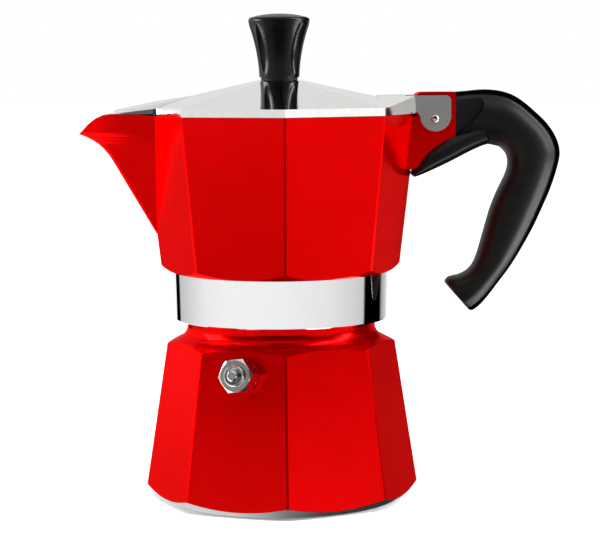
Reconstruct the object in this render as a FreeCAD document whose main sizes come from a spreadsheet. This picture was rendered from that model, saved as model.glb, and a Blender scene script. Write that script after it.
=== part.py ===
import FreeCAD, Part
import math
import os
import Sketcher
from FreeCAD import Placement, Rotation, Vector

# Three-cup octagonal moka pot. Millimetres, +Z up, origin at the centre of the base.
# The spout points along -X and the handle along +X; octagon corners lie on both axes.

os.makedirs("parts", exist_ok=True)
doc = FreeCAD.newDocument("MokaPot")

# ---------------------------------------------------------------- driving sizes
SIZES = [
    ("base_radius", 39.3, "boiler: radius of the flat underside"),
    ("foot_height", 3.9, "boiler: height of the corners above the table"),
    ("foot_corner", 45.2, "boiler: corner radius at the foot"),
    ("shoulder_height", 51.3, "boiler: height of the corners at the shoulder"),
    ("shoulder_corner", 37.9, "boiler: corner radius at the shoulder"),
    ("edge_round", 0.15, "how far the sharp corners of the flats would stand proud"),
    ("shoulder_foot_radius", 33.9, "boiler: where the shoulder turns up to the neck"),
    ("shoulder_foot_height", 53.3, "boiler: height of that turn"),
    ("shoulder_fillet", 4.4, "boiler: radius of that turn"),
    ("neck_radius", 31.2, "boiler: neck below the thread"),
    ("neck_start", 57.4, "boiler: where the neck becomes straight"),
    ("thread_root", 30.9, "boiler: thread root radius"),
    ("thread_crest", 31.9, "boiler: thread crest radius"),
    ("thread_start", 59.9, "boiler: bottom of the threaded neck"),
    ("lip_height", 69.0, "boiler: top of the neck"),
    ("mouth_radius", 27.3, "boiler: bore of the neck"),
    ("floor_height", 3.5, "boiler: inside floor"),
    ("cavity_foot", 37.6, "boiler: cavity radius at the floor"),
    ("cavity_head", 32.7, "boiler: cavity radius under the shoulder"),
    ("cavity_head_height", 47.5, "boiler: height of that radius"),
    ("throat_height", 54.5, "boiler: where the neck bore starts"),
    ("pitch", 3.0, "screw thread pitch"),
    ("thread_depth_in", 0.45, "thread ridge: depth buried in the wall"),
    ("thread_base", 0.8, "thread ridge: half width at the wall"),
    ("thread_tip", 0.32, "thread ridge: half width at the crest"),
    ("thread_length", 6.0, "length of each thread along the axis"),
    ("band_bottom", 59.6, "collector: lower edge of the polished band"),
    ("band_foot", 35.1, "collector: band radius at the lower edge"),
    ("band_head", 35.45, "collector: band radius at the upper edge"),
    ("band_top", 75.2, "collector: upper edge of the band"),
    ("skirt_bore", 32.15, "collector: bore that carries the thread"),
    ("skirt_crest", 31.15, "collector: inner thread crest radius"),
    ("seat_height", 73.0, "collector: ceiling above the gasket"),
    ("seat_radius", 27.0, "collector: inner edge of that ceiling"),
    ("dome_height", 78.0, "collector: underside at the column"),
    ("waist_corner", 39.6, "collector: corner radius above the chamfer"),
    ("waist_height", 77.5, "collector: height of those corners"),
    ("rim_corner", 45.5, "collector: corner radius at the rim"),
    ("rim_height", 127.0, "collector: rim"),
    ("wall", 2.4, "collector: wall thickness"),
    ("bowl_floor", 79.6, "collector: inside floor at the wall"),
    ("bowl_crown", 81.5, "collector: inside floor at the column"),
    ("column_foot", 7.5, "column: radius at the floor"),
    ("column_head", 5.6, "column: radius at the top"),
    ("column_top", 116.0, "column: top of the straight part"),
    ("column_cap", 119.0, "column: tip"),
    ("column_bore", 3.6, "column: bore"),
    ("slit_bottom", 109.5, "column: lower end of the outlets"),
    ("slit_top", 114.5, "column: upper end of the outlets"),
    ("slit_width", 3.2, "column: outlet width"),
    ("lug_half", 5.0, "lug: half thickness"),
    ("lug_top", 134.0, "lug: top"),
    ("lug_front", 44.8, "lug: end that faces the lid"),
    ("lug_back", 57.8, "lug: face against the handle"),
    ("tongue_half", 2.4, "tongue: half thickness"),
    ("tongue_back", 72.0, "tongue: far end"),
    ("tongue_low", 123.2, "tongue: lower side"),
    ("tongue_high", 130.6, "tongue: upper side"),
    ("hinge_x", 50.8, "lid hinge: position along X"),
    ("hinge_z", 125.3, "lid hinge: height"),
    ("hinge_pin_radius", 1.3, "lid hinge pin radius"),
    ("hinge_clear", 0.06, "running clearance of the pin in the ears"),
    ("rivet_x", 66.0, "handle pin: position along X"),
    ("rivet_z", 126.9, "handle pin: height"),
    ("rivet_radius", 1.5, "handle pin radius"),
    ("lid_bottom", 127.1, "lid: lower edge"),
    ("lid_rim", 129.7, "lid: top of the upright rim"),
    ("lid_corner", 45.5, "lid: corner radius"),
    ("lid_flat_corner", 6.7, "lid: corner radius of the top flat"),
    ("lid_flat", 138.3, "lid: height of the top flat"),
    ("sheet", 1.0, "lid: sheet thickness"),
    ("screw_clear", 1.75, "lid: hole for the knob screw"),
    ("bridge_top", 133.1, "lid: top of the hinge bridge"),
    ("bridge_half", 6.3, "lid: half width over the ears"),
    ("ear_inside", 5.3, "lid: half width between the ears"),
    ("bridge_end", 41.2, "lid: end of the bridge's roof"),
    ("knob_bottom", 139.1, "knob: underside"),
    ("knob_height", 160.0, "knob: overall height of the pot"),
    ("hex_flats", 10.3, "valve: width across flats"),
    ("hex_height", 6.2, "valve: height of the hexagon"),
    ("shank_radius", 4.0, "valve: shank"),
    ("collar_radius", 3.4, "valve: collar"),
    ("valve_bore", 2.7, "valve: bore"),
    ("valve_height", 44.95, "valve: height of its axis at the wall"),
    ("valve_side", 0.2, "valve: distance from the middle of the flat"),
]

sheet = doc.addObject("Spreadsheet::Sheet", "Sizes")
sizes = {}
for row, (alias, value, note) in enumerate(SIZES, start=1):
    sheet.set("A%d" % row, note)
    sheet.set("B%d" % row, repr(value))
    sheet.setAlias("B%d" % row, alias)
    sizes[alias] = value
doc.recompute()


class Size:
    """A length that knows its number and its spreadsheet expression."""

    def __init__(self, value, text):
        self.value = value
        self.text = text

    def _join(self, other, sign, value):
        right = other.text if isinstance(other, Size) else repr(float(other))
        return Size(value, "(%s %s %s)" % (self.text, sign, right))

    def __add__(self, other):
        return self._join(other, "+", self.value + number(other))

    def __sub__(self, other):
        return self._join(other, "-", self.value - number(other))

    def __mul__(self, other):
        return self._join(other, "*", self.value * number(other))

    def __truediv__(self, other):
        return self._join(other, "/", self.value / number(other))

    def __radd__(self, other):
        return self + other

    def __rsub__(self, other):
        return self * -1 + other

    def __rmul__(self, other):
        return self * other

    def __neg__(self):
        return self * -1


def number(x):
    """The plain number of a length."""
    return x.value if isinstance(x, Size) else float(x)


def size(alias):
    """One of the driving sizes."""
    return Size(sizes[alias], "Sizes.%s" % alias)


def bind(target, path, length):
    """Tie a property or constraint to its expression."""
    if isinstance(length, Size):
        target.setExpression(path, length.text)


# ---------------------------------------------------------------- sketching helpers
def new_body(name, placement=None):
    body = doc.addObject("PartDesign::Body", name)
    body.Label = name
    if placement is not None:
        body.Placement = placement
    return body


def origin_feature(body, role):
    for feature in body.Origin.OriginFeatures:
        if feature.Role == role:
            return feature
    raise RuntimeError("no origin feature " + role)


def new_sketch(body, name, plane="XZ_Plane", lift=0.0, turn=0.0, spin=0.0):
    """A sketch on an origin plane, lifted along its normal, turned about its own y axis
    and spun about its normal."""
    sketch = body.newObject("Sketcher::SketchObject", name)
    sketch.AttachmentSupport = [(origin_feature(body, plane), "")]
    sketch.MapMode = "FlatFace"
    rotation = Rotation(Vector(0, 0, 1), spin).multiply(Rotation(Vector(0, 1, 0), turn))
    sketch.AttachmentOffset = Placement(Vector(0, 0, number(lift)), rotation)
    bind(sketch, "AttachmentOffset.Base.z", lift)
    return sketch


def pin_point(sketch, geo, end, x, y):
    """Fix one point of a sketch to lengths from the sketch origin."""
    for kind, axis, length in (("DistanceX", -2, x), ("DistanceY", -1, y)):
        if abs(number(length)) < 1e-9:
            sketch.addConstraint(Sketcher.Constraint("PointOnObject", geo, end, axis))
        else:
            index = sketch.addConstraint(Sketcher.Constraint(kind, geo, end, number(length)))
            bind(sketch, "Constraints[%d]" % index, length)


def outline(sketch, points):
    """A closed outline. A third value on a point is the radius of the arc to the next one:
    positive bulges to the left of the way of travel, negative to the right."""
    count = len(points)
    ends = []
    for i in range(count):
        here = points[i]
        there = points[(i + 1) % count]
        a = Vector(number(here[0]), number(here[1]), 0)
        b = Vector(number(there[0]), number(there[1]), 0)
        if len(here) == 2:
            geo = sketch.addGeometry(Part.LineSegment(a, b), False)
            ends.append((geo, 1, 2))
            continue
        radius = abs(number(here[2]))
        side = 1.0 if number(here[2]) > 0 else -1.0
        along = b - a
        half = along.Length / 2.0
        left = Vector(-along.y, along.x, 0).normalize()
        centre = (a + b) * 0.5 - left * (side * math.sqrt(radius * radius - half * half))
        first, last = (b, a) if side > 0 else (a, b)
        start = math.atan2(first.y - centre.y, first.x - centre.x)
        stop = math.atan2(last.y - centre.y, last.x - centre.x)
        if stop < start:
            stop += 2 * math.pi
        circle = Part.Circle(centre, Vector(0, 0, 1), radius)
        geo = sketch.addGeometry(Part.ArcOfCircle(circle, start, stop), False)
        index = sketch.addConstraint(Sketcher.Constraint("Radius", geo, radius))
        if isinstance(here[2], Size):
            bind(sketch, "Constraints[%d]" % index, here[2] * side)
        ends.append((geo, 2, 1) if side > 0 else (geo, 1, 2))
    for i in range(count):
        geo, first, last = ends[i]
        after, after_first, _ = ends[(i + 1) % count]
        sketch.addConstraint(Sketcher.Constraint("Coincident", geo, last, after, after_first))
        pin_point(sketch, geo, first, points[i][0], points[i][1])


def circle(sketch, x, y, radius):
    """A circle of a given radius about a given centre."""
    centre = Vector(number(x), number(y), 0)
    geo = sketch.addGeometry(Part.Circle(centre, Vector(0, 0, 1), number(radius)), False)
    index = sketch.addConstraint(Sketcher.Constraint("Radius", geo, number(radius)))
    bind(sketch, "Constraints[%d]" % index, radius)
    pin_point(sketch, geo, 3, x, y)


def revolve(body, name, points):
    """Turn an outline in the XZ plane about the body's Z axis."""
    sketch = new_sketch(body, name + "_profile")
    outline(sketch, points)
    feature = body.newObject("PartDesign::Revolution", name)
    feature.Profile = sketch
    feature.ReferenceAxis = (sketch, ["V_Axis"])
    feature.Angle = 360
    return feature


def groove(body, name, points):
    """Cut an outline in the XZ plane turned about the body's Z axis."""
    sketch = new_sketch(body, name + "_profile")
    outline(sketch, points)
    feature = body.newObject("PartDesign::Groove", name)
    feature.Profile = sketch
    feature.ReferenceAxis = (sketch, ["V_Axis"])
    feature.Angle = 360
    return feature


def extrude(body, kind, name, sketch, length, both=False, backwards=False):
    """Pad or pocket a sketch by a length, to one side or to both."""
    feature = body.newObject("PartDesign::" + kind, name)
    feature.Profile = sketch
    feature.Length = number(length)
    bind(feature, "Length", length)
    if both:
        feature.SideType = "Symmetric"
    feature.Reversed = backwards
    return feature


def around(body, name, feature, count):
    """Repeat a feature round the body's Z axis."""
    pattern = body.newObject("PartDesign::PolarPattern", name)
    pattern.Originals = [feature]
    pattern.Axis = (origin_feature(body, "Z_Axis"), [""])
    pattern.Angle = 360
    pattern.Occurrences = count
    body.Tip = pattern
    return pattern


def eight_flats(body, name, points):
    """Cut eight flats: the outline is the waste outside one flat, seen edge on."""
    sketch = new_sketch(body, name + "_edge", turn=22.5)
    outline(sketch, points)
    cut = extrude(body, "Pocket", name + "_cut", sketch, 90, both=True)
    return around(body, name, cut, 8)


def octagon(sketch, corner):
    """An octagon with corners on both sketch axes."""
    slant = corner * math.sqrt(0.5)
    outline(sketch, [(corner, 0), (slant, slant), (0, corner), (-slant, slant),
                     (-corner, 0), (-slant, -slant), (0, -corner), (slant, -slant)])


def helix_ridge(body, name, kind, wall, depth, crest, start):
    """A trapezoid ridge wound round the Z axis, buried by depth in the wall."""
    sketch = new_sketch(body, name + "_section")
    buried = wall - depth
    base = size("thread_base")
    tip = size("thread_tip")
    outline(sketch, [(buried, start - base), (crest, start - tip),
                     (crest, start + tip), (buried, start + base)])
    ridge = body.newObject("PartDesign::" + kind, name)
    ridge.Profile = sketch
    ridge.ReferenceAxis = (sketch, ["V_Axis"])
    ridge.Mode = "pitch-height-angle"
    ridge.Pitch = sizes["pitch"]
    ridge.Height = sizes["thread_length"]
    bind(ridge, "Pitch", size("pitch"))
    bind(ridge, "Height", size("thread_length"))
    return ridge


COS_FLAT = math.cos(math.radians(22.5))


def corner_line(low_corner, low_height, high_corner, high_height):
    """Corner radius as a function of height along a straight corner edge."""
    slope = (high_corner - low_corner) / (high_height - low_height)
    return lambda height: low_corner + slope * (height - low_height)


# ---------------------------------------------------------------- boiler
boiler = new_body("boiler")
boiler_corner = corner_line(size("foot_corner"), size("foot_height"),
                            size("shoulder_corner"), size("shoulder_height"))
revolve(boiler, "boiler_turned", [
    (0, 0),
    (size("base_radius"), 0),
    (size("foot_corner"), size("foot_height")),
    (size("shoulder_corner"), size("shoulder_height")),
    (size("shoulder_foot_radius"), size("shoulder_foot_height"), size("shoulder_fillet")),
    (size("neck_radius"), size("neck_start")),
    (size("neck_radius"), size("thread_start") - 0.3),
    (size("thread_root"), size("thread_start")),
    (size("thread_root"), size("lip_height")),
    (size("mouth_radius"), size("lip_height")),
    (size("mouth_radius"), size("throat_height")),
    (size("cavity_head"), size("cavity_head_height")),
    (size("cavity_foot"), size("floor_height") + 3.0, 3.2),
    (size("cavity_foot") - 3.0, size("floor_height")),
    (0, size("floor_height")),
])
flat_low = (boiler_corner(-2.0) + size("edge_round")) * COS_FLAT
flat_high = (boiler_corner(56.0) + size("edge_round")) * COS_FLAT
eight_flats(boiler, "boiler_flats", [
    (flat_low, -2.0),
    (60, -2.0),
    (60, 56.0),
    (flat_high, 56.0),
])
helix_ridge(boiler, "boiler_thread", "AdditiveHelix", size("thread_root"), size("thread_depth_in"),
            size("thread_crest"), size("thread_start") + 1.4)

# the valve stands square on the front flat beside the spout's corner
valve_lean = math.degrees(math.atan((sizes["foot_corner"] - sizes["shoulder_corner"]) * COS_FLAT
                                    / (sizes["shoulder_height"] - sizes["foot_height"])))
valve_turn = -112.5
valve_reach = (number(boiler_corner(size("valve_height"))) + sizes["edge_round"]) * COS_FLAT
along = Vector(math.cos(math.radians(valve_turn)), math.sin(math.radians(valve_turn)), 0)
across = Vector(-along.y, along.x, 0)
valve_foot = along * valve_reach + across * sizes["valve_side"] + Vector(0, 0, sizes["valve_height"])
valve_rotation = Rotation(Vector(0, 0, 1), valve_turn).multiply(
    Rotation(Vector(0, 1, 0), 90 - valve_lean))
valve_place = Placement(valve_foot, valve_rotation)

hole_sketch = new_sketch(boiler, "valve_hole_circle", plane="XY_Plane")
hole_sketch.AttachmentOffset = valve_place
circle(hole_sketch, 0, 0, size("shank_radius") + 0.02)
extrude(boiler, "Pocket", "valve_hole", hole_sketch, 9)

# ---------------------------------------------------------------- safety valve
valve_body = new_body("valve_body", valve_place)
hex_low = 0.6
hex_turn = 8.0
hex_high = size("hex_height") + hex_low
collar_high = hex_high + 1.2
shank_end = -6.0
revolve(valve_body, "valve_turned", [
    (0, shank_end),
    (size("shank_radius") - 0.5, shank_end),
    (size("shank_radius"), shank_end + 0.5),
    (size("shank_radius"), hex_low),
    (size("collar_radius"), hex_low),
    (size("collar_radius"), collar_high - 0.3),
    (size("collar_radius") - 0.3, collar_high),
    (0, collar_high),
])
hex_sketch = new_sketch(valve_body, "valve_hex_outline", plane="XY_Plane", lift=hex_low)
hex_corner = size("hex_flats") / math.sqrt(3.0)
outline(hex_sketch, [(hex_corner * math.sin(math.radians(60 * k - hex_turn)),
                      hex_corner * math.cos(math.radians(60 * k - hex_turn))) for k in range(6)])
extrude(valve_body, "Pad", "valve_hex", hex_sketch, size("hex_height"))
groove(valve_body, "valve_hex_chamfer", [
    (size("hex_flats") * 0.5 - 0.2, hex_high + 0.01),
    (size("hex_flats") * 0.7, hex_high + 0.01),
    (size("hex_flats") * 0.7, hex_high - 1.5),
])
groove(valve_body, "valve_bored", [
    (0, shank_end - 1),
    (1.3, shank_end - 1),
    (1.3, shank_end + 1.6),
    (size("valve_bore"), shank_end + 1.6),
    (size("valve_bore"), collar_high + 1),
    (0, collar_high + 1),
])

valve_seal = new_body("valve_seal", valve_place)
revolve(valve_seal, "seal_turned", [
    (size("shank_radius") + 0.1, 0),
    (size("shank_radius") + 1.0, 0),
    (size("shank_radius") + 1.0, hex_low),
    (size("shank_radius") + 0.1, hex_low),
])

seat = shank_end + 1.6
piston_seal = new_body("piston_seal", valve_place)
revolve(piston_seal, "piston_seal_turned", [
    (0, seat + 0.05),
    (2.3, seat + 0.05),
    (2.3, seat + 0.85),
    (0, seat + 0.85),
])

valve_piston = new_body("valve_piston", valve_place)
revolve(valve_piston, "piston_turned", [
    (0, seat + 0.85),
    (2.55, seat + 0.85),
    (2.55, seat + 1.85),
    (1.1, seat + 1.85),
    (1.1, 2.8),
    (1.8, 3.4),
    (1.8, collar_high + 1.2),
    (1.3, collar_high + 1.6),
    (0, collar_high + 1.6),
])

retainer_low = number(collar_high) - 4.2
valve_retainer = new_body("valve_retainer", valve_place)
revolve(valve_retainer, "retainer_turned", [
    (1.9, retainer_low),
    (size("valve_bore"), retainer_low),
    (size("valve_bore"), retainer_low + 0.8),
    (1.9, retainer_low + 0.8),
])

valve_spring = new_body("valve_spring", valve_place)
spring_low = seat + 1.85 + 0.3
spring_sketch = new_sketch(valve_spring, "spring_wire")
circle(spring_sketch, 2.2, spring_low, 0.25)
spring = valve_spring.newObject("PartDesign::AdditiveHelix", "spring_coil")
spring.Profile = spring_sketch
spring.ReferenceAxis = (spring_sketch, ["V_Axis"])
spring.Mode = "height-turns-angle"
spring.Height = retainer_low - spring_low - 0.3
spring.Turns = 6

# ---------------------------------------------------------------- funnel and its disc
rim_low = size("lip_height") + 0.05
funnel = new_body("funnel")
revolve(funnel, "funnel_spun", [
    (26.2, rim_low),
    (26.2, 50.2),
    (25.0, 49.0),
    (4.8, 40.9),
    (4.5, 9.0),
    (3.7, 9.0),
    (3.9, 41.5),
    (24.2, 49.7),
    (24.2, 51.0),
    (25.4, 51.0),
    (25.4, rim_low + 0.4, -0.4),
    (25.8, rim_low + 0.8),
    (30.0, rim_low + 0.8),
    (30.0, rim_low),
])


def perforated_disc(name, radius, low, thickness, rings, hole):
    """A thin disc with rings of small holes, six more holes in each ring outwards."""
    body = new_body(name)
    revolve(body, name + "_blank", [
        (0, low),
        (radius, low),
        (radius, low + thickness),
        (0, low + thickness),
    ])
    for ring, reach in enumerate(rings, start=1):
        sketch = new_sketch(body, "%s_hole_%d" % (name, ring), plane="XY_Plane", lift=low)
        circle(sketch, reach, 0, hole)
        cut = extrude(body, "Pocket", "%s_cut_%d" % (name, ring), sketch, 4 * thickness, both=True)
        around(body, "%s_ring_%d" % (name, ring), cut, 6 * ring)
    return body


funnel_disc = perforated_disc("funnel_disc", 25.2, 51.02, 0.6, [5.0, 10.0, 15.0, 20.0], 0.75)

# ---------------------------------------------------------------- gasket and filter plate
gasket = new_body("gasket")
revolve(gasket, "gasket_moulded", [
    (25.7, 69.95),
    (31.9, 69.95),
    (31.9, 72.3),
    (25.7, 72.3),
])
filter_plate = perforated_disc("filter_plate", 29.5, size("seat_height") - 0.6, 0.6,
                               [4.5, 9.0, 13.5, 18.0, 22.5], 0.7)

# ---------------------------------------------------------------- collector
collector = new_body("collector")
collector_corner = corner_line(size("waist_corner"), size("waist_height"),
                               size("rim_corner"), size("rim_height"))
revolve(collector, "collector_turned", [
    (size("column_bore"), size("dome_height")),
    (size("seat_radius") - 1.0, size("seat_height") + 1.6),
    (size("seat_radius"), size("seat_height")),
    (size("skirt_bore"), size("seat_height")),
    (size("skirt_bore"), size("band_bottom") + 0.5),
    (size("skirt_bore") + 0.5, size("band_bottom")),
    (size("band_foot") - 0.25, size("band_bottom")),
    (size("band_foot"), size("band_bottom") + 0.3),
    (size("band_head"), size("band_top"), -12.0),
    (size("waist_corner"), size("waist_height")),
    (size("rim_corner"), size("rim_height")),
    (size("column_bore"), size("rim_height")),
])
waist_flat = (collector_corner(74.0) + size("edge_round")) * COS_FLAT
rim_flat = (collector_corner(129.0) + size("edge_round")) * COS_FLAT
eight_flats(collector, "collector_flats", [
    (waist_flat, 74.0),
    (70, 74.0),
    (70, 129.0),
    (rim_flat, 129.0),
])

# the bowl inside
bowl_sketch = new_sketch(collector, "bowl_mouth_outline", plane="XY_Plane", lift=130.0)
octagon(bowl_sketch, collector_corner(130.0) - size("wall") / COS_FLAT)
bowl = extrude(collector, "Pocket", "bowl", bowl_sketch, 130.0 - size("bowl_floor"))
bowl.TaperAngle = -math.degrees(math.atan(
    (sizes["rim_corner"] - sizes["waist_corner"]) * COS_FLAT / (sizes["rim_height"] - sizes["waist_height"])))
# the spout grows from the corner at -X: level sections from the keel's foot to the lip
KEEL = [(88.0, -41.1), (109.7, -53.7), (112.0, -55.0), (114.0, -56.3), (116.0, -57.95), (117.7, -59.7),
        (119.2, -62.0), (120.2, -63.9), (120.9, -66.0), (121.5, -67.6), (129.0, -67.8)]


def spout_root(height):
    """Where the spout's side meets the flat beside the corner: x and half width."""
    rise = max(height - 89.2, 1.0) / 37.8
    return -41.7 + 1.1 * rise, 11.8 * rise


def spout_loft(kind, name, sections):
    """A loft through level outlines given as (height, nose x, nose half width, root x, half)."""
    sketches = []
    for index, (height, nose, tip, root, half) in enumerate(sections, start=1):
        sketch = new_sketch(collector, "%s_%d" % (name, index), plane="XY_Plane", lift=height)
        outline(sketch, [(nose, 0), (nose + tip, -tip), (root, -half), (root, half), (nose + tip, tip)])
        sketches.append(sketch)
    loft = collector.newObject("PartDesign::" + kind, name)
    loft.Profile = sketches[0]
    loft.Sections = sketches[1:]
    loft.Ruled = True
    return loft


outer_sections = []
inner_sections = []
for height, keel in KEEL:
    root, half = spout_root(height)
    tip = 0.5 + 0.9 * max(height - 100.0, 0.0) / 29.0
    slope = (half - tip) / (root - keel - tip)
    outer_sections.append((height, keel, tip, root + 1.2, half + 1.2 * slope))
    if height > 100.0:
        inner_sections.append((height, keel + 2.7, tip * 0.6, root + 8.0, half + 8.0 * slope - 2.2))
inner_sections.insert(0, (96.5, -43.2, 0.3, -33.5, 4.6))
spout_loft("AdditiveLoft", "spout_outside", outer_sections)

# lug: hinge block and web that carry the lid and the handle
LUG_FOOT = [(57.8, 118.4), (54.0, 116.4), (50.6, 114.0), (48.4, 111.8), (46.2, 109.6), (43.4, 108.6)]
lug_sketch = new_sketch(collector, "lug_outline")
lug_points = [(41.0, 108.6), (41.0, 126.0), (size("lug_front"), 126.0),
              (size("lug_front"), size("lug_top") - 1.8, 1.8),
              (size("lug_front") + 1.8, size("lug_top")),
              (size("lug_back"), size("lug_top"))] + LUG_FOOT
outline(lug_sketch, lug_points)
extrude(collector, "Pad", "lug", lug_sketch, size("lug_half") * 2, both=True)
tongue_sketch = new_sketch(collector, "tongue_outline")
outline(tongue_sketch, [
    (size("lug_back") - 1, size("tongue_low")),
    (size("tongue_back"), size("tongue_low")),
    (size("tongue_back"), size("tongue_high")),
    (size("lug_back") - 1, size("tongue_high")),
])
extrude(collector, "Pad", "tongue", tongue_sketch, size("tongue_half") * 2, both=True)

spout_loft("SubtractiveLoft", "spout_channel", inner_sections)

# level off the mouth and slope the lip down to the tip
lip_sketch = new_sketch(collector, "lip_outline")
outline(lip_sketch, [
    (-66.1, 120.9), (-64.5, 122.6), (-62.9, 124.3), (-60.5, 126.1), (-58.0, 127.2),
    (-55.6, 127.5), (-46.0, 127.5), (-41.0, size("rim_height")), (-30.0, size("rim_height")),
    (-30.0, 131.0), (-72.0, 131.0), (-72.0, 115.0),
])
extrude(collector, "Pocket", "lip", lip_sketch, 60, both=True)

# column and crowned floor
revolve(collector, "column", [
    (size("column_bore"), size("bowl_floor") - 0.5),
    (34.0, size("bowl_floor") - 0.5),
    (34.0, size("bowl_floor")),
    (size("column_foot") + 2.5, size("bowl_crown"), 3.0),
    (size("column_foot"), size("bowl_crown") + 2.5),
    (size("column_head"), size("column_top"), -7.0),
    (1.0, size("column_cap")),
    (0, size("column_cap")),
    (0, size("column_top") + 0.8),
    (size("column_bore") - 0.6, size("column_top") - 0.8),
])
slit_sketch = new_sketch(collector, "outlet_outline", plane="YZ_Plane")
outline(slit_sketch, [
    (-size("slit_width") / 2, size("slit_bottom")),
    (size("slit_width") / 2, size("slit_bottom")),
    (size("slit_width") / 2, size("slit_top")),
    (-size("slit_width") / 2, size("slit_top")),
])
extrude(collector, "Pocket", "outlets", slit_sketch, 16, both=True)

# pin holes and the inner thread
hinge_sketch = new_sketch(collector, "hinge_hole_circle")
circle(hinge_sketch, size("hinge_x"), size("hinge_z"), size("hinge_pin_radius"))
extrude(collector, "Pocket", "hinge_hole", hinge_sketch, 20, both=True)
rivet_sketch = new_sketch(collector, "rivet_hole_circle")
circle(rivet_sketch, size("rivet_x"), size("rivet_z"), size("rivet_radius"))
extrude(collector, "Pocket", "rivet_hole", rivet_sketch, 20, both=True)
helix_ridge(collector, "collector_thread", "AdditiveHelix", size("skirt_bore"),
            -size("thread_depth_in"), size("skirt_crest"),
            size("thread_start") + 1.4 + size("pitch") / 2)

# ---------------------------------------------------------------- lid
lid = new_body("lid")
rim_sketch = new_sketch(lid, "lid_rim_outline", plane="XY_Plane", lift=size("lid_bottom"))
octagon(rim_sketch, size("lid_corner"))
extrude(lid, "Pad", "lid_rim_wall", rim_sketch, size("lid_rim") - size("lid_bottom"))


def ruled_loft(body, kind, name, sketches):
    loft = body.newObject("PartDesign::" + kind, name)
    loft.Profile = sketches[0]
    loft.Sections = sketches[1:]
    loft.Ruled = True
    return loft


def roof(name, kind, drop, inset):
    """The eight sloping flats, lowered and inset for the inside."""
    low = new_sketch(lid, name + "_low", plane="XY_Plane", lift=size("lid_rim") - drop)
    octagon(low, size("lid_corner") - inset)
    high = new_sketch(lid, name + "_high", plane="XY_Plane", lift=size("lid_flat") - drop)
    octagon(high, size("lid_flat_corner") - inset)
    ruled_loft(lid, kind, name, [low, high])


roof("lid_roof", "AdditiveLoft", 0.0, 0.0)


def cross_sections(name, sections):
    """Sketches square to X, each a closed outline mirrored about the XZ plane."""
    sketches = []
    for index, (x, half) in enumerate(sections, start=1):
        sketch = new_sketch(lid, "%s_%d" % (name, index), plane="YZ_Plane", lift=x)
        mirrored = [(-y, z) for y, z in reversed(half)]
        if number(half[0][0]) == 0:
            mirrored = mirrored[:-1]
        outline(sketch, list(half) + mirrored)
        sketches.append(sketch)
    return sketches


# beak over the spout: a tent with bevelled sides, from a blunt end up into the roof
ruled_loft(lid, "AdditiveLoft", "beak", cross_sections("beak_section", [
    (-54.4, [(0, 128.8), (4.8, 128.1), (5.6, 127.75), (5.7, 127.65)]),
    (-41.5, [(0, 131.5), (9.8, 130.5), (11.2, 129.3), (11.4, 127.65)]),
    (-27.5, [(0, 133.6), (0.4, 133.5), (1.2, 132.6), (1.8, 131.0)]),
]))
# bridge: flat top that widens from the roof's corner to the ears
ruled_loft(lid, "AdditiveLoft", "bridge", cross_sections("bridge_section", [
    (32.2, [(1.0, size("bridge_top")), (32.0, 129.3), (32.0, size("lid_bottom"))]),
    (44.4, [(5.0, size("bridge_top")), (5.9, size("bridge_top") - 0.4), (6.9, size("lid_bottom"))]),
]))
ear_sketch = new_sketch(lid, "ear_outline")
outline(ear_sketch, [
    (44.0, 127.4), (45.2, 127.4), (45.9, 126.25, -5.15), (51.05, 121.1, -5.15), (56.2, 126.25),
    (56.2, 131.2, -1.8), (54.4, 133.0), (44.0, 133.0),
])
extrude(lid, "Pad", "ears", ear_sketch, size("bridge_half") * 2, both=True)
swell_sketch = new_sketch(lid, "ear_swell_outline")
outline(swell_sketch, [
    (46.7, 126.25, -4.35), (51.05, 121.9, -4.35), (55.4, 126.25), (55.0, 127.7), (46.9, 127.7),
])
extrude(lid, "Pad", "ear_swell", swell_sketch, size("bridge_half") * 2 + 0.7, both=True)
gap_sketch = new_sketch(lid, "lug_gap_outline")
outline(gap_sketch, [
    (size("bridge_end"), 118.0), (60.0, 118.0), (60.0, 136.0), (size("bridge_end"), 136.0),
])
extrude(lid, "Pocket", "lug_gap", gap_sketch, size("ear_inside") * 2, both=True)

# hollow underside
inside_sketch = new_sketch(lid, "lid_inside_outline", plane="XY_Plane", lift=126.0)
octagon(inside_sketch, size("lid_corner") - size("sheet") / COS_FLAT)
extrude(lid, "Pocket", "lid_inside", inside_sketch, size("lid_rim") - size("sheet") - 126.0,
        backwards=True)
roof("lid_hollow", "SubtractiveLoft", size("sheet"), size("sheet") / COS_FLAT)
ruled_loft(lid, "SubtractiveLoft", "beak_hollow", cross_sections("beak_inside", [
    (-53.4, [(0, 128.0), (4.7, 127.2), (4.7, 126.0)]),
    (-40.6, [(0, 130.5), (10.2, 128.8), (10.2, 126.0)]),
    (-14.0, [(0, 135.6), (3.0, 135.1), (3.0, 126.0)]),
]))
ruled_loft(lid, "SubtractiveLoft", "bridge_hollow", cross_sections("bridge_inside", [
    (31.5, [(0.6, size("bridge_top") - 1.1), (30.0, 128.3), (30.0, 126.0)]),
    (43.1, [(4.4, size("bridge_top") - 1.1), (7.4, size("bridge_top") - 1.7), (8.2, 126.0)]),
]))
pivot_sketch = new_sketch(lid, "pivot_circle")
circle(pivot_sketch, size("hinge_x"), size("hinge_z"), size("hinge_pin_radius") + size("hinge_clear"))
extrude(lid, "Pocket", "pivot_holes", pivot_sketch, 20, both=True)
screw_sketch = new_sketch(lid, "screw_hole_circle", plane="XY_Plane", lift=size("lid_flat"))
circle(screw_sketch, 0, 0, size("screw_clear"))
extrude(lid, "Pocket", "screw_hole", screw_sketch, 6, both=True)

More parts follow.
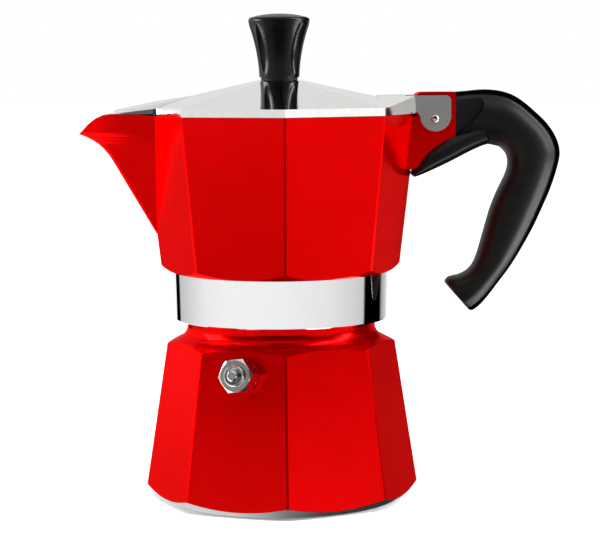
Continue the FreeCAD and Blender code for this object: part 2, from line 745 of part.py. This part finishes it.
# ---------------------------------------------------------------- knob
knob = new_body("knob")
revolve(knob, "knob_turned", [
    (3.0, size("knob_bottom")),
    (6.4, size("knob_bottom")),
    (6.6, size("knob_bottom") + 0.2, 56.0),
    (9.8, 156.0),
    (10.1, 157.6, -1.2),
    (9.3, 158.8, -31.0),
    (0.8, size("knob_height")),
    (0, size("knob_height")),
    (0, 150.0),
    (3.0, 150.0),
])
leaf_sketch = new_sketch(knob, "leaf_section", plane="XY_Plane", lift=144.8, spin=45.0)
circle(leaf_sketch, 9.2, 0, 3.05)
axis_line = leaf_sketch.addGeometry(Part.LineSegment(Vector(27.3, 0, 0), Vector(27.3, 10, 0)), True)
leaf_sketch.addConstraint(Sketcher.Constraint("Vertical", axis_line))
pin_point(leaf_sketch, axis_line, 1, 27.3, 0)
leaf = knob.newObject("PartDesign::Groove", "leaf")
leaf.Profile = leaf_sketch
leaf.ReferenceAxis = (leaf_sketch, ["Axis0"])
leaf.Angle = 360
around(knob, "leaves", leaf, 4)

knob_insert = new_body("knob_insert")
revolve(knob_insert, "insert_turned", [
    (1.6, size("knob_bottom")), (3.0, size("knob_bottom")), (3.0, 149.5), (1.6, 149.5),
])
knob_washer = new_body("knob_washer")
revolve(knob_washer, "washer_turned", [
    (size("screw_clear"), size("lid_flat")), (6.0, size("lid_flat")),
    (6.0, size("knob_bottom")), (size("screw_clear"), size("knob_bottom")),
])
knob_screw = new_body("knob_screw")
under = size("lid_flat") - size("sheet")
revolve(knob_screw, "screw_turned", [
    (0, 147.5), (0, under - 2.0), (2.6, under - 2.0, -1.6), (3.4, under - 0.8), (3.4, under),
    (1.55, under), (1.55, 147.1), (1.2, 147.5),
])
screw_slot = new_sketch(knob_screw, "screw_slot_outline", plane="XY_Plane", lift=under - 2.5)
outline(screw_slot, [(-5, -0.4), (5, -0.4), (5, 0.4), (-5, 0.4)])
extrude(knob_screw, "Pocket", "screw_slot", screw_slot, 1.4, backwards=True)

# ---------------------------------------------------------------- pins
side_turn = Rotation(Vector(1, 0, 0), 90)
hinge_pin = new_body("hinge_pin", Placement(Vector(sizes["hinge_x"], 0, sizes["hinge_z"]), side_turn))
revolve(hinge_pin, "hinge_pin_turned", [
    (0, -7.1), (size("hinge_pin_radius") - 0.4, -7.0), (size("hinge_pin_radius"), -6.6),
    (size("hinge_pin_radius"), 6.6), (size("hinge_pin_radius") - 0.4, 7.0), (0, 7.1),
])
handle_pin = new_body("handle_pin", Placement(Vector(sizes["rivet_x"], 0, sizes["rivet_z"]), side_turn))
revolve(handle_pin, "handle_pin_turned", [
    (0, -5.0), (size("rivet_radius"), -5.0), (size("rivet_radius"), 4.0), (0, 4.0),
])

# ---------------------------------------------------------------- handle
# grip stations from the lug to the tail: outer x, z, inner x, z, half thickness
GRIP = [
    (57.8, 134.0, 57.8, 117.6, 6.9),
    (64.0, 134.5, 63.8, 118.2, 7.1),
    (70.0, 134.6, 68.9, 116.7, 7.3),
    (77.1, 132.7, 72.6, 115.8, 7.6),
    (83.8, 127.7, 74.7, 113.9, 8.0),
    (89.2, 122.1, 75.5, 112.2, 8.3),
    (92.2, 115.8, 75.7, 110.0, 8.5),
    (92.0, 110.3, 74.9, 106.7, 8.5),
    (89.9, 103.1, 72.6, 101.9, 8.4),
    (87.3, 96.7, 70.3, 96.6, 8.3),
    (84.2, 89.9, 68.7, 91.6, 8.1),
    (80.6, 83.1, 67.0, 85.6, 7.9),
    (76.6, 76.4, 65.0, 79.0, 7.6),
    (72.7, 71.1, 62.6, 75.1, 7.3),
    (68.4, 65.7, 59.3, 73.3, 7.1),
    (65.4, 62.7, 56.3, 72.6, 6.9),
    (63.4, 61.5, 54.9, 71.4, 6.5),
    (62.3, 61.9, 54.9, 70.4, 5.6),
]
# horn stations from inside the grip to the tip beside the pot's corner
HORN = [
    (65.5, 124.2, 69.2, 116.7, 6.8),
    (60.6, 122.3, 64.2, 114.9, 7.1),
    (55.8, 120.1, 59.2, 112.4, 7.2),
    (51.4, 117.7, 54.6, 110.1, 7.0),
    (48.2, 115.2, 50.9, 108.4, 6.7),
    (46.0, 112.2, 47.9, 107.1, 6.3),
    (44.4, 109.4, 45.8, 106.3, 5.8),
    (43.2, 107.2, 44.4, 106.0, 5.3),
]


def fill_in(stations):
    """Adds a station halfway between each pair, on smooth curves through the listed ones."""
    marks = [float(k) for k in range(len(stations))]

    def smooth(points):
        curve = Part.BSplineCurve()
        curve.interpolate(Points=points, Parameters=marks)
        return curve

    outer = smooth([Vector(s[0], 0, s[1]) for s in stations])
    inner = smooth([Vector(s[2], 0, s[3]) for s in stations])
    thickness = smooth([Vector(mark, s[4], 0) for mark, s in zip(marks, stations)])
    filled = []
    for step in range(2 * len(stations) - 1):
        top = outer.value(step / 2)
        bottom = inner.value(step / 2)
        filled.append((top.x, top.z, bottom.x, bottom.z, thickness.value(step / 2).y))
    return filled


def ring(station, lean=0.12, power=2.1, count=24):
    """A closed rounded section from an outer to an inner point, widest a little towards the inner."""
    outer = Vector(station[0], 0, station[1])
    inner = Vector(station[2], 0, station[3])
    centre = (outer + inner) * 0.5
    reach = outer - centre
    points = []
    for step in range(count + 1):
        angle = 2 * math.pi * (step % count) / count
        c = math.cos(angle)
        s = math.sin(angle)
        u = math.copysign(abs(c) ** (2.0 / power), c)
        v = math.copysign(abs(s) ** (2.0 / power), s)
        points.append(centre + reach * (u - lean * (1 - u * u)) + Vector(0, station[4] * v, 0))
    curve = Part.BSplineCurve()
    start = Vector(0, station[4], 0)
    curve.interpolate(Points=points, InitialTangent=start, FinalTangent=start)
    return Part.Wire([curve.toShape()])


def prism(points, low, high):
    """A straight solid between two y values over a polygon in the XZ plane."""
    corners = [Vector(number(x), low, number(z)) for x, z in points]
    face = Part.Face(Part.makePolygon(corners + [corners[0]]))
    return face.extrude(Vector(0, high - low, 0))


def frustum(clear):
    """The collector's outside, enlarged all round by a small clearance."""
    rings = []
    for height in (100.0, 130.0):
        corner = number(collector_corner(height)) + sizes["edge_round"] + clear
        points = [Vector(corner * math.cos(math.radians(45 * k)), corner * math.sin(math.radians(45 * k)),
                         height) for k in range(8)]
        rings.append(Part.makePolygon(points + [points[0]]))
    return Part.makeLoft(rings, True, True)


grip = Part.makeLoft([ring(station) for station in fill_in(GRIP)], True, False, False, 5)
horn = Part.makeLoft([ring(station) for station in fill_in(HORN)], True, False, False, 5)
shape = grip.fuse(horn)
half = sizes["lug_half"]
CHEEK = [(57.0, 119.6), (60.9, 121.9), (64.5, 125.4), (66.6, 128.2), (67.1, 130.4), (66.3, 132.3),
         (64.5, 133.0), (57.0, 133.4)]
shape = shape.cut(prism(CHEEK, half, half + 8)).cut(prism(CHEEK, -half - 8, -half))
web = [(41.0, 108.6), (41.0, 136.0), (sizes["lug_back"], 136.0)] + LUG_FOOT
shape = shape.cut(prism(web, -half - 0.02, half + 0.02))
shape = shape.cut(frustum(0.1))
slot = [(57.0, size("tongue_low") - 0.05), (size("tongue_back") + 0.2, size("tongue_low") - 0.05),
        (size("tongue_back") + 0.2, size("tongue_high") + 0.05), (57.0, size("tongue_high") + 0.05)]
shape = shape.cut(prism(slot, -sizes["tongue_half"] - 0.05, sizes["tongue_half"] + 0.05))
pin_hole = Part.makeCylinder(sizes["rivet_radius"], 14.0, Vector(sizes["rivet_x"], -4.0, sizes["rivet_z"]),
                             Vector(0, 1, 0))
shape = shape.cut(pin_hole)
handle = doc.addObject("Part::Feature", "handle")
handle.Label = "handle"
handle.Shape = shape.Solids[0] if len(shape.Solids) == 1 else shape

PARTS = [boiler, valve_body, valve_seal, valve_piston, piston_seal, valve_spring, valve_retainer,
         funnel, funnel_disc, gasket, filter_plate, collector, lid, knob, knob_insert, knob_washer,
         knob_screw, hinge_pin, handle_pin, handle]

doc.recompute()
for item in doc.Objects:
    if "Invalid" in item.State or "Error" in item.State:
        raise RuntimeError("%s did not compute" % item.Label)
for part in PARTS:
    if part.Shape.isNull() or not part.Shape.isValid() or len(part.Shape.Solids) != 1:
        raise RuntimeError("%s is not one valid solid" % part.Label)
    part.Shape.exportStep("parts/%s.step" % part.Label)
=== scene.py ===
import bpy
import math
from mathutils import Matrix, Vector

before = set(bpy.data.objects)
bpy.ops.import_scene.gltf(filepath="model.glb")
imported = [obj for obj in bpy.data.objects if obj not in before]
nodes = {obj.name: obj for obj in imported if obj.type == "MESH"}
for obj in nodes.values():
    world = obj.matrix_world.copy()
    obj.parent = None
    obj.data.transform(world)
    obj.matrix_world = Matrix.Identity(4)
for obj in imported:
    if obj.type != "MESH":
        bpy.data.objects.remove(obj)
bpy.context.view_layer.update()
scene = bpy.context.scene
scene.view_settings.view_transform = "Standard"
scene.view_settings.look = "None"
scene.view_settings.gamma = 0.8


# ------------------------------------------------------------------ small node helpers
class Shade:
    """Builds one procedural material, node by node."""

    def __init__(self, name):
        self.material = bpy.data.materials.new(name)
        self.material.use_nodes = True
        self.tree = self.material.node_tree
        self.shader = self.tree.nodes["Principled BSDF"]

    def node(self, kind, **values):
        made = self.tree.nodes.new(kind)
        for key, value in values.items():
            if key in made.inputs:
                made.inputs[key].default_value = value
            else:
                setattr(made, key, value)
        return made

    def link(self, source, target):
        self.tree.links.new(source, target)

    def set(self, **values):
        for key, value in values.items():
            self.shader.inputs[key.replace("_", " ")].default_value = value

    def place(self):
        """Object coordinates, which for a frame node are metres in the row frame."""
        return self.node("ShaderNodeTexCoord").outputs["Object"]

    def noise(self, scale, detail=3.0, stretch=None):
        texture = self.node("ShaderNodeTexNoise", Scale=scale, Detail=detail)
        where = self.place()
        if stretch:
            mapping = self.node("ShaderNodeMapping")
            mapping.inputs["Scale"].default_value = stretch
            self.link(where, mapping.inputs["Vector"])
            where = mapping.outputs["Vector"]
        self.link(where, texture.inputs["Vector"])
        return texture.outputs["Fac"]

    def span(self, source, low, high, start=0.0, stop=1.0):
        """Maps a value from start..stop to low..high."""
        ranged = self.node("ShaderNodeMapRange")
        ranged.inputs["From Min"].default_value = start
        ranged.inputs["From Max"].default_value = stop
        ranged.inputs["To Min"].default_value = low
        ranged.inputs["To Max"].default_value = high
        self.link(source, ranged.inputs["Value"])
        return ranged.outputs["Result"]

    def mix(self, factor, first, second):
        mixed = self.node("ShaderNodeMix", data_type="RGBA")
        mixed.inputs["A"].default_value = (*first, 1.0)
        mixed.inputs["B"].default_value = (*second, 1.0)
        self.link(factor, mixed.inputs["Factor"])
        return mixed.outputs["Result"]

    def bump(self, source, distance, strength):
        bumped = self.node("ShaderNodeBump", Strength=strength, Distance=distance)
        self.link(source, bumped.inputs["Height"])
        return bumped.outputs["Normal"]


def paint(name, deep, bright):
    """Glossy enamel sprayed on a casting: a faint orange peel and uneven depth of colour."""
    shade = Shade(name)
    colour = shade.mix(shade.span(shade.noise(60.0), 0.0, 1.0, 0.35, 0.65), deep, bright)
    shade.link(colour, shade.shader.inputs["Base Color"])
    rough = shade.span(shade.noise(180.0, 5.0), 0.17, 0.23)
    shade.link(rough, shade.shader.inputs["Roughness"])
    peel = shade.bump(shade.noise(900.0, 2.0), 0.00002, 0.5)
    shade.link(peel, shade.shader.inputs["Normal"])
    shade.set(Metallic=0.75, Specular_IOR_Level=0.0, IOR=1.05, Specular_Tint=(1.0, 0.1, 0.15, 1.0))
    shade.set(Coat_Weight=0.10, Coat_Roughness=0.12, Coat_IOR=1.5)
    return shade.material


def metal(name, colour, rough_low, rough_high, grain=(1.0, 1.0, 1.0), scale=400.0, depth=0.00001):
    """Bare metal: fine tool grain in one direction with patchy roughness."""
    shade = Shade(name)
    shade.set(Metallic=1.0)
    tone = shade.mix(shade.span(shade.noise(scale, 4.0, grain), 0.0, 1.0, 0.3, 0.7),
                     tuple(c * 0.94 for c in colour), colour)
    shade.link(tone, shade.shader.inputs["Base Color"])
    shade.link(shade.span(shade.noise(90.0, 5.0), rough_low, rough_high), shade.shader.inputs["Roughness"])
    shade.link(shade.bump(shade.noise(scale, 6.0, grain), depth, 0.4), shade.shader.inputs["Normal"])
    return shade.material


def plastic(name, colour, rough, scale, depth, ior=1.5):
    """Moulded plastic with a spark-eroded grain."""
    shade = Shade(name)
    tone = shade.mix(shade.span(shade.noise(scale * 0.2, 4.0), 0.0, 1.0, 0.35, 0.65),
                     colour, tuple(c * 1.5 for c in colour))
    shade.link(tone, shade.shader.inputs["Base Color"])
    shade.link(shade.span(shade.noise(scale * 0.5, 3.0), rough - 0.05, rough + 0.06),
               shade.shader.inputs["Roughness"])
    shade.link(shade.bump(shade.noise(scale, 3.0), depth, 0.6), shade.shader.inputs["Normal"])
    shade.set(IOR=ior)
    return shade.material


red = paint("red_enamel", (0.83, 0.0, 0.0), (0.87, 0.0, 0.001))
cast = metal("bare_casting", (0.80, 0.80, 0.81), 0.32, 0.45, scale=700.0, depth=0.00003)
polished = metal("polished_band", (0.93, 0.93, 0.94), 0.015, 0.035, (1.0, 1.0, 12.0), 500.0, 0.0000004)
lid_metal = metal("polished_lid", (0.92, 0.915, 0.90), 0.06, 0.11, scale=500.0, depth=0.000002)
ear_metal = metal("tumbled_ear", (0.80, 0.79, 0.78), 0.28, 0.50, scale=1500.0, depth=0.00006)
disc_metal = metal("tumbled_disc", (0.80, 0.79, 0.78), 0.25, 0.45, scale=1500.0, depth=0.00006)
steel = metal("plated_steel", (0.78, 0.78, 0.80), 0.15, 0.28, scale=900.0)
nickel = metal("nickel", (0.80, 0.79, 0.76), 0.12, 0.24, scale=900.0)
brass = metal("turned_brass", (0.78, 0.60, 0.30), 0.18, 0.30, (1.0, 1.0, 8.0), 700.0)
handle_black = plastic("handle_plastic", (0.006, 0.006, 0.0055), 0.42, 2200.0, 0.00006, 1.55)
knob_black = plastic("knob_plastic", (0.002, 0.002, 0.002), 0.28, 3000.0, 0.00001, 1.5)
silicone = plastic("seal_silicone", (0.62, 0.60, 0.55), 0.50, 900.0, 0.00003)
rubber = plastic("washer_rubber", (0.02, 0.02, 0.02), 0.60, 900.0, 0.00003)


def dress(name, *materials):
    """Gives a CAD node its material slots."""
    slots = nodes[name].data.materials
    slots.clear()
    for material in materials:
        slots.append(material)


def choose(name, pick):
    """Assigns each face of a CAD node to one of its slots by its centre and normal."""
    for face in nodes[name].data.polygons:
        face.material_index = pick(face.center, face.normal)


dress("boiler", red, cast)
dress("collector", red, polished, cast)
dress("lid", lid_metal, ear_metal, disc_metal)
PLAIN = {
    "funnel": cast,
    "funnel_disc": cast,
    "filter_plate": cast,
    "gasket": silicone,
    "valve_seal": silicone,
    "piston_seal": silicone,
    "valve_body": nickel,
    "valve_retainer": nickel,
    "valve_piston": steel,
    "valve_spring": steel,
    "knob": knob_black,
    "handle": handle_black,
    "knob_insert": brass,
    "knob_washer": rubber,
    "knob_screw": steel,
    "hinge_pin": steel,
    "handle_pin": steel,
}
for plain_name, plain_material in PLAIN.items():
    dress(plain_name, plain_material)

# Where one casting changes from paint to bare metal, in metres in the row frame
THREAD_FOOT = 0.0597
FOOT_EDGE = 0.0036
BOILER_INSIDE = 0.030
SKIRT_BORE = 0.0335
BAND_TOP = 0.0752
CORNER_TOP = 0.0795
LUG_START = 0.0425
RIM_HEIGHT = 0.1265
SPOUT_START = -0.040
SPOUT_LOW = 0.088
EAR_FACE = 0.00645


def faces_out(centre, normal):
    """True where a face looks away from the pot's axis."""
    return centre.x * normal.x + centre.y * normal.y > 0.0


def boiler_slot(centre, normal):
    """Red outside up to the thread, bare inside, on the thread and under the foot."""
    if centre.z > THREAD_FOOT or normal.z < -0.3:
        return 1
    inside = math.hypot(centre.x, centre.y) < BOILER_INSIDE or not faces_out(centre, normal)
    return 1 if inside and normal.z < 0.9 or centre.z < FOOT_EDGE else 0


choose("boiler", boiler_slot)


def collector_slot(centre, normal):
    """Red outside, a bright band round the thread, bare inside and on the machined rim."""
    reach = math.hypot(centre.x, centre.y)
    if reach < SKIRT_BORE:
        return 2
    if centre.z < BAND_TOP:
        return 1
    if centre.x > LUG_START:
        return 0
    if centre.z > RIM_HEIGHT and normal.z > 0.9:
        return 2
    if centre.x < SPOUT_START and centre.z > SPOUT_LOW:
        return 0 if normal.z < -0.05 or normal.y * centre.y > 0 else 2
    return 0 if centre.z < CORNER_TOP or faces_out(centre, normal) else 2


choose("collector", collector_slot)


def lid_slot(centre, normal):
    """Polished dome, tumbled ears with a raised disc."""
    if centre.x < LUG_START or abs(normal.y) < 0.5:
        return 0
    return 2 if abs(centre.y) > EAR_FACE else 1


choose("lid", lid_slot)

# ------------------------------------------------------------------ stage, light and camera
floor_mesh = bpy.data.meshes.new("floor")
FLOOR_REACH = 6.0
floor_corners = [(FLOOR_REACH * x, FLOOR_REACH * y, 0.0) for x, y in ((-1, -1), (1, -1), (1, 1), (-1, 1))]
floor_mesh.from_pydata(floor_corners, [], [(0, 1, 2, 3)])
floor = bpy.data.objects.new("floor", floor_mesh)
scene.collection.objects.link(floor)
floor_shade = Shade("paper")
floor_shade.set(Roughness=0.9, Specular_IOR_Level=0.0)
floor_tone = floor_shade.mix(floor_shade.noise(3.0), (0.93, 0.93, 0.93), (0.95, 0.95, 0.95))
floor_shade.link(floor_tone, floor_shade.shader.inputs["Base Color"])
floor_mesh.materials.append(floor_shade.material)
floor.visible_glossy = False

world = bpy.data.worlds.new("studio")
scene.world = world
world.use_nodes = True
sky = world.node_tree
sky_way = sky.nodes.new("ShaderNodeTexCoord")
sky_parts = sky.nodes.new("ShaderNodeSeparateXYZ")
sky.links.new(sky_way.outputs["Generated"], sky_parts.inputs["Vector"])


def sky_math(operation, first, second=None):
    """One math node of the studio's light."""
    made = sky.nodes.new("ShaderNodeMath")
    made.operation = operation
    for index, value in enumerate(v for v in (first, second) if v is not None):
        if isinstance(value, (int, float)):
            made.inputs[index].default_value = value
        else:
            sky.links.new(value, made.inputs[index])
    return made.outputs["Value"]


def sky_ramp(source, stops):
    """Brightness along 0..1 by straight steps between stops."""
    ramp = sky.nodes.new("ShaderNodeValToRGB")
    ramp.color_ramp.interpolation = "LINEAR"
    elements = ramp.color_ramp.elements
    for place, _ in stops[1:-1]:
        elements.new(place)
    for element, (_, level) in zip(elements, stops):
        element.color = (level, level, level, 1.0)
    sky.links.new(source, ramp.inputs["Fac"])
    return ramp.outputs["Color"]


def sky_blend(factor, first, second):
    """Mixes two colours of the studio's light."""
    made = sky.nodes.new("ShaderNodeMix")
    made.data_type = "RGBA"
    sky.links.new(factor, made.inputs["Factor"])
    sky.links.new(first, made.inputs["A"])
    sky.links.new(second, made.inputs["B"])
    return made.outputs["Result"]


def sky_step(source, start, stop):
    """0 below start, 1 above stop."""
    made = sky.nodes.new("ShaderNodeMapRange")
    made.interpolation_type = "SMOOTHSTEP"
    made.inputs["From Min"].default_value = start
    made.inputs["From Max"].default_value = stop
    sky.links.new(source, made.inputs["Value"])
    return made.outputs["Result"]


# Along each ramp 0 is straight behind the pot, 0.25 its left, 0.5 the camera's side and 0.75 its right
toward = sky_math("MULTIPLY", sky_parts.outputs["Y"], -1.0)
turn_part = sky_math("DIVIDE", sky_math("ARCTAN2", sky_parts.outputs["X"], toward), 2.0 * math.pi)
round_pot = sky_math("ADD", turn_part, 0.5)
climb = sky_math("DIVIDE", sky_math("ARCSINE", sky_parts.outputs["Z"]), math.pi / 2)
below = sky_ramp(round_pot, (
    (0.0, 0.35), (0.03, 0.9), (0.125, 1.1), (0.20, 2.0), (0.27, 2.0), (0.33, 0.55), (0.40, 0.45),
    (0.45, 0.06), (0.55, 0.06), (0.60, 0.5), (0.633, 0.66), (0.67, 0.7), (0.69, 8.0), (0.76, 8.0),
    (0.78, 0.0), (0.99, 0.0), (1.0, 0.35)))
table_level = sky_ramp(round_pot, (
    (0.0, 1.0), (0.055, 1.0), (0.062, 0.0), (0.095, 0.0), (0.105, 0.65), (0.19, 0.82), (0.25, 0.95),
    (0.33, 1.0), (0.50, 0.98), (0.64, 0.90), (0.74, 0.76), (0.772, 0.70), (0.780, 0.0), (0.868, 0.0),
    (0.885, 0.50), (0.92, 0.70), (1.0, 1.0)))
wall = sky_ramp(round_pot, (
    (0.0, 0.6), (0.04, 0.9), (0.125, 1.0), (0.25, 1.0), (0.40, 0.85), (0.43, 0.06), (0.57, 0.06),
    (0.60, 1.1), (0.66, 1.1), (0.70, 0.4), (0.78, 0.0), (0.868, 0.0), (0.89, 0.4), (0.97, 0.4), (1.0, 0.6)))
above = sky_ramp(round_pot, (
    (0.0, 0.85), (0.04, 0.74), (0.125, 1.0), (0.25, 0.7), (0.33, 0.20), (0.41, 0.15), (0.44, 0.06),
    (0.56, 0.06), (0.59, 0.2), (0.65, 0.35), (0.70, 0.2), (0.78, 0.0), (0.94, 0.0), (0.965, 0.80),
    (1.0, 0.85)))
high = sky_ramp(round_pot, (
    (0.0, 0.97), (0.12, 0.9), (0.14, 0.0), (0.21, 0.0), (0.23, 0.6), (0.4, 0.6), (0.6, 0.6), (0.75, 0.45),
    (1.0, 0.97)))
# Overhead, what lights the floor is brighter than what the polished lid mirrors
sight = sky.nodes.new("ShaderNodeLightPath")
mirrored = sky_ramp(round_pot, ((0.0, 0.75), (0.25, 0.85), (0.45, 0.95), (0.6, 0.8), (1.0, 0.75)))
lighting = sky_ramp(round_pot, ((0.0, 1.8), (0.25, 2.6), (0.45, 3.2), (0.6, 1.8), (1.0, 1.8)))
overhead = sky_blend(sight.outputs["Is Diffuse Ray"], mirrored, lighting)
glow = below
for zone, start, stop in ((table_level, -0.155, -0.145), (wall, -0.050, -0.036), (above, 0.035, 0.065),
                          (high, 0.33, 0.39), (overhead, 0.50, 0.62)):
    glow = sky_blend(sky_step(climb, start, stop), glow, zone)
paper_white = sky_ramp(round_pot, ((0.0, 1.0), (1.0, 1.0)))
background = sky.nodes["Background"]
sky.links.new(sky_blend(sight.outputs["Is Camera Ray"], glow, paper_white), background.inputs["Color"])
background.inputs["Strength"].default_value = 1.0


POT_MIDDLE = Vector((0.0, 0.0, 0.08))
LIGHT_DISTANCE = 1.2


def softbox(name, azimuth, elevation, width, height, glow_level):
    """A rectangular light of a given radiance, aimed at the pot; azimuth 0 is the camera's side."""
    light = bpy.data.lights.new(name, "AREA")
    light.shape = "RECTANGLE"
    light.size = width
    light.size_y = height
    light.energy = glow_level * width * height * math.pi
    lamp = bpy.data.objects.new(name, light)
    turn = math.radians(azimuth)
    rise = math.radians(elevation)
    reach = Vector((math.sin(turn) * math.cos(rise), -math.cos(turn) * math.cos(rise), math.sin(rise)))
    lamp.location = POT_MIDDLE + LIGHT_DISTANCE * reach
    lamp.rotation_euler = (-reach).to_track_quat("-Z", "Y").to_euler()
    scene.collection.objects.link(lamp)


softbox("left", -95, 18, 0.6, 0.6, 8.5)
softbox("right", 84, 24, 0.3, 0.85, 12.0)
softbox("spot", 70, 50, 0.16, 0.16, 30.0)

# The camera stands in front of the pot, a little to its left, and looks slightly down
CAMERA_PLACE = (-0.02479, -0.69688, 0.14674)
azimuth, yaw, pitch, roll = (math.radians(a) for a in (-2.04, 0.49, -5.76, -0.387))
bearing = azimuth - yaw
forward = Vector((-math.sin(bearing) * math.cos(pitch), math.cos(bearing) * math.cos(pitch), math.sin(pitch)))
side = Vector((math.cos(bearing), math.sin(bearing), 0.0))
upward = side.cross(forward)
level_side = side * math.cos(roll) + upward * math.sin(roll)
level_up = upward * math.cos(roll) - side * math.sin(roll)
camera_data = bpy.data.cameras.new("camera")
camera_data.sensor_width = 36.0
camera_data.lens = 126.4
camera_data.shift_x = 0.002
camera_data.clip_start = 0.01
camera = bpy.data.objects.new("camera", camera_data)
turned = Matrix((level_side, level_up, -forward)).transposed()
camera.matrix_world = Matrix.Translation(CAMERA_PLACE) @ turned.to_4x4()
scene.collection.objects.link(camera)
scene.camera = camera
